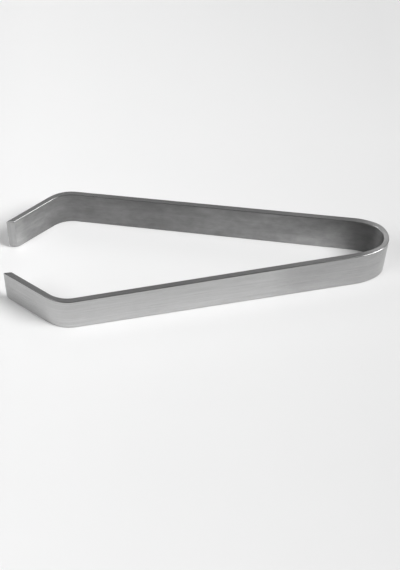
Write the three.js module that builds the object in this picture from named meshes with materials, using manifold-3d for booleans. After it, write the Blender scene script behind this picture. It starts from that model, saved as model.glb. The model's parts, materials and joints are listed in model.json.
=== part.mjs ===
// Fish bone tweezers: one bent steel strip, lying on its long edge.
// Its five working regions are the bow, two arms and two jaws. Lengths are in millimetres, +Z up,
// +X towards the bow. The strip's plan is symmetric about the XZ plane, and the origin is at the
// bottom centre of the whole object.
import * as THREE from "three";
import { mergeVertices } from "three/addons/utils/BufferGeometryUtils.js";
import Module from "manifold-3d";

const wasm = await Module();
wasm.setup();

// Strip section. The blank narrows evenly from the bow to the tips.
const stripThickness = 1.8;
const bowWidth = 15;
const tipWidth = 13.5;
const edgeRounding = 0.3;

// Bow: a tight crown, then a wide shoulder on each side that runs out into the arm.
const crownInnerRadius = 5.1;
const crownHalfSweep = THREE.MathUtils.degToRad(60);
const shoulderInnerRadius = 19.25;

// Arms: straight, each turned away from the middle by the arm angle.
const armAngle = THREE.MathUtils.degToRad(9.25);
const armLength = 96;

// Jaws: a soft bend, then a straight blade towards the middle.
const jawBendInnerRadius = 10.5;
const jawBendAngle = THREE.MathUtils.degToRad(46.5);
const jawLength = 16.7;
const lowerTipCornerRadius = 1.6;
const upperTipCornerRadius = 0.6;

// The arm's turning point lies this far out along the arm, past the shoulder, and the bow's leg
// and the arm keep a turning gap between them.
const pivotRun = 10;
const turningGap = 0.3;

// Flats along the curves and round the edges.
const arcSteps = 10;
const edgeSteps = 2;

// Centreline radii.
const halfThickness = stripThickness / 2;
const crownRadius = crownInnerRadius + halfThickness;
const shoulderRadius = shoulderInnerRadius + halfThickness;
const jawBendRadius = jawBendInnerRadius + halfThickness;

// How far the cutting shapes reach past the strip.
const cutMargin = 2 * stripThickness;

const quarterTurn = Math.PI / 2;

// A unit step in plan, at an angle from +X.
function heading(angle) {
  return new THREE.Vector2(Math.cos(angle), Math.sin(angle));
}

// A point reached from another by a run at an angle.
function reach(from, angle, run) {
  return from.clone().addScaledVector(heading(angle), run);
}

// The rear half's centreline in plan, from the crown to the tip. The crown's centre is at zero.
const armHeading = Math.PI - armAngle;
const jawHeading = armHeading + jawBendAngle;
const crownCentre = new THREE.Vector2();
const shoulderCentre = reach(crownCentre, crownHalfSweep, crownRadius - shoulderRadius);
const armStart = reach(shoulderCentre, armHeading - quarterTurn, shoulderRadius);
const armEnd = reach(armStart, armHeading, armLength);
const jawBendCentre = reach(armEnd, armHeading + quarterTurn, jawBendRadius);
const jawStart = reach(jawBendCentre, jawHeading - quarterTurn, jawBendRadius);
const jawEnd = reach(jawStart, jawHeading, jawLength);
const pivot = reach(armStart, armHeading, pivotRun);

// The angle that closes the jaws: it swings the jaw's end onto the middle plane.
function closingAngle() {
  const lever = jawEnd.clone().sub(pivot);
  return Math.PI + Math.asin(pivot.y / lever.length()) - lever.angle();
}

// The end faces lie flat against each other when the jaws are closed, so each end line is turned
// back by the closing angle at rest.
const endLineAngle = -closingAngle();

// Where the end line meets the strip's face that lies this far outside the centreline.
function tipCorner(offset) {
  const slant = offset / Math.sin(jawHeading - endLineAngle);
  return reach(jawEnd, endLineAngle, slant);
}

// One face of the strip in plan, from the front tip round the bow to the rear tip.
function facePoints(offset) {
  const tip = tipCorner(offset);
  const bendFrom = armHeading - quarterTurn;
  const bendTo = jawHeading - quarterTurn;
  const path = new THREE.Path();
  path.moveTo(tip.x, -tip.y);
  path.absarc(jawBendCentre.x, -jawBendCentre.y, jawBendRadius + offset, -bendTo, -bendFrom);
  path.absarc(shoulderCentre.x, -shoulderCentre.y, shoulderRadius + offset, -bendFrom, -crownHalfSweep);
  path.absarc(crownCentre.x, crownCentre.y, crownRadius + offset, -crownHalfSweep, crownHalfSweep);
  path.absarc(shoulderCentre.x, shoulderCentre.y, shoulderRadius + offset, crownHalfSweep, bendFrom);
  path.absarc(jawBendCentre.x, jawBendCentre.y, jawBendRadius + offset, bendFrom, bendTo);
  path.lineTo(tip.x, tip.y);
  return withoutRepeats(path.getPoints(arcSteps));
}

// The points of an outline, less each one that repeats the one before it.
function withoutRepeats(points) {
  const least = stripThickness * Number.EPSILON * 1e6;
  return points.filter((p, i) => i === 0 || p.distanceTo(points[i - 1]) > least);
}

// A solid for cutting and joining, from a closed geometry.
function solidOf(geometry) {
  const bare = geometry.clone();
  bare.deleteAttribute("normal");
  bare.deleteAttribute("uv");
  const merged = mergeVertices(bare);
  return new wasm.Manifold(
    new wasm.Mesh({
      numProp: 3,
      vertProperties: new Float32Array(merged.attributes.position.array),
      triVerts: new Uint32Array(merged.index.array),
    }),
  );
}

// The geometry of a finished solid.
function geometryOf(solid) {
  const mesh = solid.getMesh();
  const geometry = new THREE.BufferGeometry();
  geometry.setAttribute("position", new THREE.BufferAttribute(mesh.vertProperties, mesh.numProp));
  geometry.setIndex(new THREE.BufferAttribute(mesh.triVerts, 1));
  geometry.computeVertexNormals();
  return geometry;
}

// The whole strip at its full width, with its long edges rounded over.
function blankStrip() {
  const outline = [...facePoints(halfThickness), ...facePoints(-halfThickness).reverse()];
  return new THREE.ExtrudeGeometry(new THREE.Shape(outline), {
    depth: bowWidth - 2 * edgeRounding,
    bevelThickness: edgeRounding,
    bevelSize: edgeRounding,
    bevelOffset: -edgeRounding,
    bevelSegments: edgeSteps,
  }).translate(0, 0, edgeRounding);
}

// The space that the rear jaw's face may fill, with round corners at the tip. It is drawn along
// the jaw and up, and swept along the end line, so the end face stays flat.
function roundedTipSpace() {
  const lower = lowerTipCornerRadius;
  const upper = upperTipCornerRadius;
  const back = -jawBendRadius - cutMargin;
  const sweep = 2 * (jawBendRadius + jawLength);
  const face = new THREE.Shape();
  face.moveTo(back, -cutMargin);
  face.lineTo(jawLength - lower, -cutMargin);
  face.absarc(jawLength - lower, lower, lower, -quarterTurn, 0);
  face.absarc(jawLength - upper, bowWidth - upper, upper, 0, quarterTurn);
  face.lineTo(jawLength - upper, bowWidth + cutMargin);
  face.lineTo(back, bowWidth + cutMargin);
  const along = heading(jawHeading);
  const across = heading(endLineAngle + Math.PI);
  const frame = new THREE.Matrix4().makeBasis(
    new THREE.Vector3(along.x, along.y, 0),
    new THREE.Vector3(0, 0, 1),
    new THREE.Vector3(across.x, across.y, 0),
  );
  return new THREE.ExtrudeGeometry(face, { depth: sweep, bevelEnabled: false, curveSegments: arcSteps })
    .translate(0, 0, -sweep / 2)
    .applyMatrix4(frame)
    .translate(jawStart.x, jawStart.y, 0);
}

// An upright block over a plan outline, taller than the strip.
function regionBlock(corners) {
  return new THREE.ExtrudeGeometry(new THREE.Shape(corners), {
    depth: bowWidth + 2 * cutMargin,
    bevelEnabled: false,
  }).translate(0, 0, -cutMargin);
}

// The bow's region: round the crown and out to the turning gap on both sides.
function bowRegion() {
  const legEnd = reach(pivot, armHeading, -turningGap / 2);
  const inner = reach(legEnd, armHeading + quarterTurn, cutMargin);
  const outer = reach(legEnd, armHeading - quarterTurn, cutMargin);
  const front = crownRadius + halfThickness + cutMargin;
  return regionBlock([
    new THREE.Vector2(front, outer.y),
    outer,
    inner,
    new THREE.Vector2(inner.x, -inner.y),
    new THREE.Vector2(outer.x, -outer.y),
    new THREE.Vector2(front, -outer.y),
  ]);
}

// The rear arm's region: from the turning gap to the start of the jaw's bend.
function armRegion() {
  const from = reach(pivot, armHeading, turningGap / 2);
  return regionBlock([
    reach(from, armHeading - quarterTurn, cutMargin),
    reach(armEnd, armHeading - quarterTurn, cutMargin),
    reach(armEnd, armHeading + quarterTurn, cutMargin),
    reach(from, armHeading + quarterTurn, cutMargin),
  ]);
}

// The rear jaw's region: all that lies past the arm's end, above the middle plane.
function jawRegion() {
  const outer = reach(armEnd, armHeading - quarterTurn, cutMargin);
  const inner = reach(armEnd, armHeading + quarterTurn, cutMargin);
  const far = reach(outer, armHeading, 2 * (jawBendRadius + jawLength));
  return regionBlock([
    outer,
    far,
    new THREE.Vector2(far.x, 0),
    new THREE.Vector2(inner.x, 0),
    inner,
  ]);
}

// Narrows a geometry in place from the bow's width to the tips' width. The lower edge stays level.
function narrowed(geometry, bowEnd, length) {
  const position = geometry.attributes.position;
  for (let i = 0; i < position.count; i += 1) {
    const share = (bowEnd - position.getX(i)) / length;
    position.setZ(i, position.getZ(i) * THREE.MathUtils.lerp(1, tipWidth / bowWidth, share));
  }
  return geometry;
}

// Brushed stainless steel.
function steel() {
  return new THREE.MeshStandardMaterial({
    color: 0xa9aaac,
    roughness: 0.34,
    metalness: 1,
    flatShading: true,
  });
}

function subPart(name, solid, bowEnd, length) {
  const mesh = new THREE.Mesh(narrowed(geometryOf(solid), bowEnd, length), steel());
  mesh.name = name;
  return mesh;
}

const blank = blankStrip();
blank.computeBoundingBox();
const bowEnd = blank.boundingBox.max.x;
const length = bowEnd - blank.boundingBox.min.x;

const strip = solidOf(blank);
const bow = strip.intersect(solidOf(bowRegion()));
const arm = strip.intersect(solidOf(armRegion()));
const jaw = strip.intersect(solidOf(jawRegion())).intersect(solidOf(roundedTipSpace()));

// The front half is the rear half mirrored in the middle plane.
const frontHalf = new THREE.Group();
frontHalf.scale.y = -1;
frontHalf.add(subPart("front_arm", arm, bowEnd, length));
frontHalf.add(subPart("front_jaw", jaw, bowEnd, length));

const tweezers = new THREE.Group();
tweezers.add(subPart("spring_bow", bow, bowEnd, length));
tweezers.add(subPart("rear_arm", arm, bowEnd, length));
tweezers.add(subPart("rear_jaw", jaw, bowEnd, length));
tweezers.add(frontHalf);
tweezers.position.x = length / 2 - bowEnd;

export default tweezers;
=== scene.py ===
# Fish bone tweezers on a white table. One bent steel strip, dressed as its rear and front halves,
# which meet at the middle of the bow. Lengths are in metres, in the frame's own axes.
import json
import math

import bmesh
import bpy
from mathutils import Matrix, Vector


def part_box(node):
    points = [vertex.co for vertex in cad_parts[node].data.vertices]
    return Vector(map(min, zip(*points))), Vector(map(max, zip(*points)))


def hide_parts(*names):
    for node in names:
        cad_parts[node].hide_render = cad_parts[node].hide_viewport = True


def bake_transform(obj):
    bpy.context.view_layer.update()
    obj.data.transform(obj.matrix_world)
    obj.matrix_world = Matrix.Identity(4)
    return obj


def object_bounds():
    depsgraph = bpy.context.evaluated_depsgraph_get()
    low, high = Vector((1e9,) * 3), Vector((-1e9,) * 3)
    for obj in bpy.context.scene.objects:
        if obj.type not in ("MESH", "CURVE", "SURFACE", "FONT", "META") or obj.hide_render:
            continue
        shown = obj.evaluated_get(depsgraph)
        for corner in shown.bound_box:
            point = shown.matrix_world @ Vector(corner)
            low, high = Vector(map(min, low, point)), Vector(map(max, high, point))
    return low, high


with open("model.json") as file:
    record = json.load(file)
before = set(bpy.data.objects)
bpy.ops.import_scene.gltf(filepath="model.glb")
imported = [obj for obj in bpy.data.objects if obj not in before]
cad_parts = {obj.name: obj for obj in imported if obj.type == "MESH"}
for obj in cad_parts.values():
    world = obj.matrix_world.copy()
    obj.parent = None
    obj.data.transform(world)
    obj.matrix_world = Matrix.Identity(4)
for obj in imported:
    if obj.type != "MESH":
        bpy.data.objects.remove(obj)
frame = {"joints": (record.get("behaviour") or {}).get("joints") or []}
cad_low, cad_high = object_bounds()


# The rear and front halves of the strip
# The tweezers are one stainless spring strip, bent round into a bow at its middle, with two straight
# arms and two jaws bent inwards. It is cut from flat plate, its long edges are rounded and polished,
# its ends are ground, and nothing is fixed to it. The front half mirrors the rear one.
strip_thickness = 0.0018
bow_width = 0.015
tip_width = 0.0135
crown_radius = 0.0051 + strip_thickness / 2
crown_sweep = math.radians(60)
shoulder_radius = 0.01925 + strip_thickness / 2
arm_angle = math.radians(9.25)
arm_length = 0.096
bend_radius = 0.0105 + strip_thickness / 2
bend_sweep = math.radians(46.5)
jaw_length = 0.0167
edge_radius = 0.0003
lower_tip_corner = 0.0016
upper_tip_corner = 0.0006

quarter_turn = math.pi / 2
crown_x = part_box("spring_bow")[1].x - crown_radius - strip_thickness / 2

# In plan the strip is a tight crown, a wide shoulder, a straight arm, a soft bend and a straight jaw.
# Each run is its radius, the angle that it turns through, its length and its count of steps.
shoulder_sweep = quarter_turn - arm_angle - crown_sweep
runs = [
    (crown_radius, crown_sweep, crown_radius * crown_sweep, 40),
    (shoulder_radius, shoulder_sweep, shoulder_radius * shoulder_sweep, 20),
    (None, 0, arm_length, 64),
    (bend_radius, bend_sweep, bend_radius * bend_sweep, 36),
    (None, 0, jaw_length, 10),
]
strip_length = sum(length for _, _, length, _ in runs)


def line_at(distance):
    """The plan point and heading of the strip's centreline, this far from the bow's crown."""
    point = Vector((crown_x + crown_radius, 0))
    heading = quarter_turn
    for radius, sweep, length, _ in runs:
        last = radius is None and length == jaw_length
        part = distance if last else min(distance, length)
        turned = sweep * part / length
        if radius is None:
            point += part * Vector((math.cos(heading), math.sin(heading)))
        else:
            chord = 2 * radius * math.sin(turned / 2)
            middle = heading + turned / 2
            point += chord * Vector((math.cos(middle), math.sin(middle)))
        heading += turned
        distance -= part
        if distance <= 0:
            break
    return point, heading


# The end faces are cut so that they lie flat on the middle plane once the arms are squeezed shut.
joints = {joint["name"]: joint for joint in frame["joints"]}
pivot = Vector(joints["rear_arm_squeeze"]["pos_m"][:2])
jaw_end, jaw_heading = line_at(strip_length)
lever = jaw_end - pivot
closing_angle = math.pi + math.asin(pivot.y / lever.length) - math.atan2(lever.y, lever.x)
end_slant = 1 / math.tan(jaw_heading + closing_angle)
jaw_start = strip_length - jaw_length
slanting_run = jaw_length / 3

# The blank is made flat first, as distance, height and depth through the metal, and then bent.
# A narrow band beside each rounded edge keeps the flats' shading flat.
shading_band = 0.00003
fillet_steps = 5
corner_steps = 10
OUTER, INNER, EDGE, END = range(4)


def section_rings():
    """Inset from the outline and depth through the metal, from the outer face to the inner."""
    face = strip_thickness / 2
    rings = [(edge_radius + shading_band, face)]
    for i in range(fillet_steps + 1):
        a = quarter_turn * i / fillet_steps
        rings.append((edge_radius * (1 - math.sin(a)), face - edge_radius * (1 - math.cos(a))))
    rings.append((0, face - edge_radius - shading_band))
    return rings + [(inset, -depth) for inset, depth in reversed(rings)]


def chain(inset, corner_radius):
    """Distance along a long edge and inset from it, from the crown round the tip's corner."""
    points = []
    distance = 0
    straight_end = strip_length - max(lower_tip_corner, upper_tip_corner) - edge_radius
    for _, _, length, steps in runs:
        for i in range(steps):
            at = distance + length * i / steps
            if at < straight_end:
                points.append((at, inset))
        distance += length
    radius = corner_radius - inset
    for i in range(corner_steps + 1):
        a = quarter_turn * i / corner_steps
        along = strip_length - corner_radius + radius * math.sin(a)
        points.append((along, corner_radius - radius * math.cos(a)))
    return points


def bent(distance, height, depth):
    """A point of the flat blank, slanted along its jaw, bent to the strip's line and narrowed."""
    slanted = min(1, max(0, (distance - jaw_start) / slanting_run))
    point, heading = line_at(distance + slanted * depth * end_slant)
    point += depth * Vector((math.sin(heading), -math.cos(heading)))
    share = (cad_high.x - point.x) / (cad_high.x - cad_low.x)
    width_share = 1 + share * (tip_width / bow_width - 1)
    return Vector((point.x, point.y, height * width_share))


def strip_half(name, side):
    """One closed half of the strip, from the crown to the tip, on the side of that sign of Y."""
    bm = bmesh.new()
    uv = bm.loops.layers.uv.new("along_strip")
    flat = {}

    def vertex(distance, height, depth):
        place = bent(distance, height, depth)
        v = bm.verts.new((place.x, side * place.y, place.z))
        flat[v] = (distance, height, depth)
        return v

    rings = []
    for inset, depth in section_rings():
        low = [vertex(d, h, depth) for d, h in chain(inset, lower_tip_corner)]
        high = [vertex(d, bow_width - h, depth) for d, h in chain(inset, upper_tip_corner)]
        rings.append((low, high))

    def face(corners, finish):
        made = bm.faces.new(corners if side > 0 else list(reversed(corners)))
        made.smooth = True
        made.material_index = finish
        for loop in made.loops:
            distance, height, depth = flat[loop.vert]
            across = height if finish in (OUTER, INNER) else depth
            loop[uv].uv = (height, across) if finish == END else (distance, across)

    def ladder(low, high, finish):
        for i in range(len(low) - 1):
            corners = [low[i], high[i], high[i + 1], low[i + 1]]
            face(corners if finish == OUTER else list(reversed(corners)), finish)

    def band(a, b, finish):
        around_a = a[0] + list(reversed(a[1]))
        around_b = b[0] + list(reversed(b[1]))
        turn = len(a[0]) - 1
        for i in range(len(around_a) - 1):
            corners = [around_a[i], around_a[i + 1], around_b[i + 1], around_b[i]]
            at_end = finish == EDGE and abs(i - turn) <= corner_steps
            face(corners, END if at_end else finish)

    ladder(*rings[0], OUTER)
    ladder(*rings[-1], INNER)
    band(rings[0], rings[1], OUTER)
    band(rings[-2], rings[-1], INNER)
    for i in range(1, len(rings) - 2):
        band(rings[i], rings[i + 1], EDGE)
    crown = [low[0] for low, _ in rings] + [high[0] for _, high in reversed(rings)]
    face(crown, EDGE)
    for edge in bm.edges:
        edge.smooth = not all(v in crown for v in edge.verts)
    bm.normal_update()
    mesh = bpy.data.meshes.new(name)
    bm.to_mesh(mesh)
    bm.free()
    piece = bpy.data.objects.new(name, mesh)
    bpy.context.scene.collection.objects.link(piece)
    return piece


def node(tree, kind, **values):
    """Adds a shader node. Each value goes to the input of that name, or else to the property."""
    made = tree.nodes.new(kind)
    for key, value in values.items():
        if key in made.inputs.keys():
            made.inputs[key].default_value = value
        else:
            setattr(made, key, value)
    return made


def strip_noise(tree, place, grains, detail):
    """Noise laid out along the strip: how many grains a metre holds along it and across it."""
    scaled = node(tree, "ShaderNodeMapping")
    scaled.inputs["Scale"].default_value = (*grains, 1)
    tree.links.new(place.outputs["UV"], scaled.inputs["Vector"])
    noise = node(tree, "ShaderNodeTexNoise", Scale=1.0, Detail=detail, Roughness=0.55)
    tree.links.new(scaled.outputs["Vector"], noise.inputs["Vector"])
    return noise.outputs["Fac"]


def graded(tree, value, start, end, low, high, smooth=False):
    """Grades a value from low, where it is at start or less, to high, where it is at end or more."""
    grade = node(tree, "ShaderNodeMapRange")
    if smooth:
        grade.interpolation_type = "SMOOTHSTEP"
    for key, number in (("From Min", start), ("From Max", end), ("To Min", low), ("To Max", high)):
        grade.inputs[key].default_value = number
    tree.links.new(value, grade.inputs["Value"])
    return grade.outputs["Result"]


# Between these two values lies nearly all of a noise texture.
noise_low, noise_high = 0.3, 0.7


def varied(tree, noise, middle, spread):
    """Varies a value by the noise, by this share of it down and up."""
    return graded(tree, noise, noise_low, noise_high, middle * (1 - spread), middle * (1 + spread))


def times(tree, first, *others):
    """The product of all these values."""
    result = first
    for other in others:
        product = node(tree, "ShaderNodeMath", operation="MULTIPLY")
        tree.links.new(result, product.inputs[0])
        tree.links.new(other, product.inputs[1])
        result = product.outputs["Value"]
    return result


# How many grains a metre holds along the strip and across it, and how strong the scratches are.
# A quarter turn spreads the highlights across the grain.
scratch_grains = (90, 11000)
brushing_grains = (50, 1400)
patch_grains = (55, 90)
speck_grains = (330, 420)
speck_share = 0.8
scratch_strength = 0.25
scratch_depth = 0.000004
roughness_spread = 0.08
highlight_turn = 0.25


def steel(name, tone, roughness, anisotropy, streaks, blotches, across=(1, 1), along=()):
    """Steel of a grey tone, with brushed streaks and blotches that lie along the strip.

    Across holds the tone's share at the lower and the upper edge. Along holds stretches, each with two
    distances from the crown and the tone's share up to the first and from the second on. Both paint
    light and shade into the tone.
    """
    material = bpy.data.materials.new(name)
    material.use_nodes = True
    tree = material.node_tree
    shader = tree.nodes["Principled BSDF"]
    shader.inputs["Metallic"].default_value = 1
    shader.inputs["Anisotropic"].default_value = anisotropy
    shader.inputs["Anisotropic Rotation"].default_value = highlight_turn
    tangent = node(tree, "ShaderNodeTangent", direction_type="UV_MAP", uv_map="along_strip")
    tree.links.new(tangent.outputs["Tangent"], shader.inputs["Tangent"])
    place = node(tree, "ShaderNodeUVMap", uv_map="along_strip")
    split = node(tree, "ShaderNodeSeparateXYZ")
    tree.links.new(place.outputs["UV"], split.inputs["Vector"])

    scratches = strip_noise(tree, place, scratch_grains, 3.0)
    brushing = strip_noise(tree, place, brushing_grains, 4.0)
    patches = strip_noise(tree, place, patch_grains, 2.0)
    specks = strip_noise(tree, place, speck_grains, 4.0)

    grey = times(
        tree,
        varied(tree, brushing, tone, streaks),
        varied(tree, patches, 1, blotches),
        varied(tree, specks, 1, speck_share * blotches),
        graded(tree, split.outputs["Y"], 0, bow_width, *across),
        *[graded(tree, split.outputs["X"], *stretch, smooth=True) for stretch in along],
    )
    colour = node(tree, "ShaderNodeCombineColor")
    for channel in ("Red", "Green", "Blue"):
        tree.links.new(grey, colour.inputs[channel])
    tree.links.new(colour.outputs["Color"], shader.inputs["Base Color"])

    rough = times(
        tree,
        varied(tree, scratches, roughness, roughness_spread),
        varied(tree, patches, 1, -blotches),
    )
    tree.links.new(rough, shader.inputs["Roughness"])
    bump = node(tree, "ShaderNodeBump", Strength=scratch_strength, Distance=scratch_depth)
    tree.links.new(scratches, bump.inputs["Height"])
    tree.links.new(bump.outputs["Normal"], shader.inputs["Normal"])
    return material


# The outer face is brushed along its length, the inner one is darker, and the ends are ground across.
# The tone carries painted light and shade along the strip, from the crown out to the jaw, and across
# the faces, from the lower edge to the upper.
# Painted shade on the outer face over the bow.
painted_shade_on_bow = (0.033, 0.046, 0.84, 1)
# Painted shade on the inner face inside the crown.
painted_shade_in_crown = (0.010, 0.018, 0.75, 1)
# Painted light on the inner face near the shoulder, fading to painted shade along the arm.
painted_light_then_shade_along_arm = (0.020, 0.090, 1.38, 0.86)
# Painted light on the inner face of the jaw.
painted_light_on_jaw = (0.106, 0.136, 1, 1.62)
# A painted highlight on the inner face at the tip.
painted_highlight_at_tip = (0.1300, 0.1345, 1, 1.35)
# A painted highlight on the long edges at the crown's rim.
painted_highlight_on_crown_rim = (0, 0.016, 2.25, 1)
finishes = [
    # The outer face is lighter towards its lower edge, a painted reflection of the bright table, and
    # darker over the bow, a painted shade.
    steel("brushed_outer_face", tone=0.50, roughness=0.26, anisotropy=0.6, streaks=0.08,
          blotches=0.03, across=(1.07, 0.95), along=[painted_shade_on_bow]),
    # The inner face is lighter towards its lower edge, a painted reflection of the bright table, and
    # carries painted light and shade along its length.
    steel("inner_face_painted_light_and_shade", tone=0.252, roughness=0.52, anisotropy=0.1, streaks=0.05,
          blotches=0.12, across=(1.08, 0.94),
          along=[painted_shade_in_crown, painted_light_then_shade_along_arm, painted_light_on_jaw, painted_highlight_at_tip]),
    steel("polished_long_edge", tone=0.22, roughness=0.29, anisotropy=0.8, streaks=0.04,
          blotches=0.03, along=[painted_highlight_on_crown_rim]),
    steel("ground_end", tone=0.42, roughness=0.40, anisotropy=0.4, streaks=0.08, blotches=0.04),
]

# Each half takes the four finishes and has its place baked into its mesh, and the frame's own parts are
# hidden.
rear = strip_half("rear_half_strip", 1)
front = strip_half("front_half_strip", -1)
for piece, body, joint in (
    (rear, "rear_half", "rear_arm_squeeze"),
    (front, "front_half", "front_arm_squeeze"),
):
    for finish in finishes:
        piece.data.materials.append(finish)
    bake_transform(piece)
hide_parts("spring_bow", "rear_arm", "rear_jaw")
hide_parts("spring_bow", "front_arm", "front_jaw")


# The camera
# Where the photograph was taken from: in front of the tweezers, looking down on them, turned a
# little, with the object right of the picture's middle.
lens = 81.29
pitch = math.radians(51.938)
roll = math.radians(-2.542)
yaw = math.radians(-4.857)
camera_place = Vector((crown_x - 0.079625, -0.275943, 0.344157))

camera_data = bpy.data.cameras.new("camera")
camera_data.lens = lens
camera = bpy.data.objects.new("camera", camera_data)
bpy.context.scene.collection.objects.link(camera)
bpy.context.scene.camera = camera
camera.matrix_world = (
    Matrix.Translation(camera_place)
    @ Matrix.Rotation(yaw, 4, "Z")
    @ Matrix.Rotation(quarter_turn - pitch, 4, "X")
    @ Matrix.Rotation(-roll, 4, "Z")
)


# The table
# A matt white board that lies flat under the tweezers and curves up all round, far off. Its tone greys
# off to the right and to the front, a painted shade. Where it is too far from the lamps it glows a
# little, as seen direct or in the steel, so that it stays white.
inner_radius = 0.3
flat_radius = 1.1
rise_width = 0.45
rise_height = 0.6
rise_steps = 16
around_steps = 96
board_roughness = 0.9
board_gloss = 0.2
board_fleck = 0.006
# Painted shade: the board darkens towards the right and, a little, towards the front.
painted_shade_left_to_right = (-0.06, 0.08, 0.93, 0.73)
painted_shade_front_to_back = (-0.08, 0.06, 0.96, 1.04)
near_to_far_glow = (0.22, 1.1, 0, 0.75)

sweep = bmesh.new()
profile = [(inner_radius, 0), (flat_radius, 0)]
for i in range(1, rise_steps + 1):
    a = quarter_turn * i / rise_steps
    profile.append((flat_radius + rise_width * math.sin(a), rise_height * (1 - math.cos(a))))
turns = [2 * math.pi * i / around_steps for i in range(around_steps)]
rounds = [
    [sweep.verts.new((radius * math.cos(t), radius * math.sin(t), height)) for t in turns]
    for radius, height in profile
]
sweep.faces.new(rounds[0])
for inner, outer in zip(rounds, rounds[1:]):
    for i in range(around_steps):
        j = (i + 1) % around_steps
        sweep.faces.new((inner[i], outer[i], outer[j], inner[j])).smooth = True
sweep_mesh = bpy.data.meshes.new("white_sweep")
sweep.to_mesh(sweep_mesh)
sweep.free()
table = bpy.data.objects.new("white_sweep", sweep_mesh)
bpy.context.scene.collection.objects.link(table)

white = bpy.data.materials.new("white_board")
white.use_nodes = True
board = white.node_tree
white_shader = board.nodes["Principled BSDF"]
white_shader.inputs["Roughness"].default_value = board_roughness
white_shader.inputs["Specular IOR Level"].default_value = board_gloss
here = node(board, "ShaderNodeTexCoord")
fleck = node(board, "ShaderNodeTexNoise", Scale=14.0, Detail=5.0, Roughness=0.6)
board.links.new(here.outputs["Object"], fleck.inputs["Vector"])
sides = node(board, "ShaderNodeSeparateXYZ")
board.links.new(here.outputs["Object"], sides.inputs["Vector"])
board_tone = times(
    board,
    varied(board, fleck.outputs["Fac"], 1, board_fleck),
    graded(board, sides.outputs["X"], *painted_shade_left_to_right),
    graded(board, sides.outputs["Y"], *painted_shade_front_to_back),
)
board.links.new(board_tone, white_shader.inputs["Base Color"])

ray = node(board, "ShaderNodeLightPath")
seen = ray.outputs["Is Camera Ray"]
for kind in ("Is Glossy Ray", "Is Transmission Ray"):
    either = node(board, "ShaderNodeMath", operation="MAXIMUM")
    board.links.new(seen, either.inputs[0])
    board.links.new(ray.outputs[kind], either.inputs[1])
    seen = either.outputs["Value"]
away = node(board, "ShaderNodeVectorMath", operation="LENGTH")
board.links.new(here.outputs["Object"], away.inputs[0])
glow = times(board, seen, graded(board, away.outputs["Value"], *near_to_far_glow, smooth=True))
white_shader.inputs["Emission Color"].default_value = (1, 1, 1, 1)
board.links.new(glow, white_shader.inputs["Emission Strength"])
sweep_mesh.materials.append(white)


# The studio lamps
# Seven round soft lamps on one dome in a dark room: a key from the right, a softer fill from the left,
# a low one at the left, three weak ones behind the tweezers and one overhead.
lamp_distance = 0.9
lamp_size = 0.45
room_grey = 0.02


def soft_lamp(name, azimuth, elevation, power):
    """A round lamp on the dome, aimed at the tweezers. The azimuth turns from +X towards +Y."""
    light = bpy.data.lights.new(name, "AREA")
    light.shape = "DISK"
    light.size = lamp_size
    light.energy = power
    lamp = bpy.data.objects.new(name, light)
    bpy.context.scene.collection.objects.link(lamp)
    a, e = math.radians(azimuth), math.radians(elevation)
    towards = Vector((math.cos(a) * math.cos(e), math.sin(a) * math.cos(e), math.sin(e)))
    lamp.location = lamp_distance * towards
    lamp.rotation_mode = "QUATERNION"
    lamp.rotation_quaternion = towards.to_track_quat("Z", "Y")
    lamp.visible_camera = False


soft_lamp("key", azimuth=-22, elevation=50, power=7.1)
soft_lamp("fill", azimuth=-150, elevation=50, power=2.1)
soft_lamp("left", azimuth=-180, elevation=15, power=0.6)
soft_lamp("back", azimuth=90, elevation=50, power=0.40)
soft_lamp("back_right", azimuth=60, elevation=50, power=0.22)
soft_lamp("back_left", azimuth=120, elevation=50, power=0.26)
soft_lamp("overhead", azimuth=0, elevation=90, power=0.6)

world = bpy.data.worlds.new("room")
world.use_nodes = True
world.node_tree.nodes["Background"].inputs["Color"].default_value = (room_grey, room_grey, room_grey, 1)
bpy.context.scene.world = world
bpy.context.scene.view_settings.view_transform = "Standard"
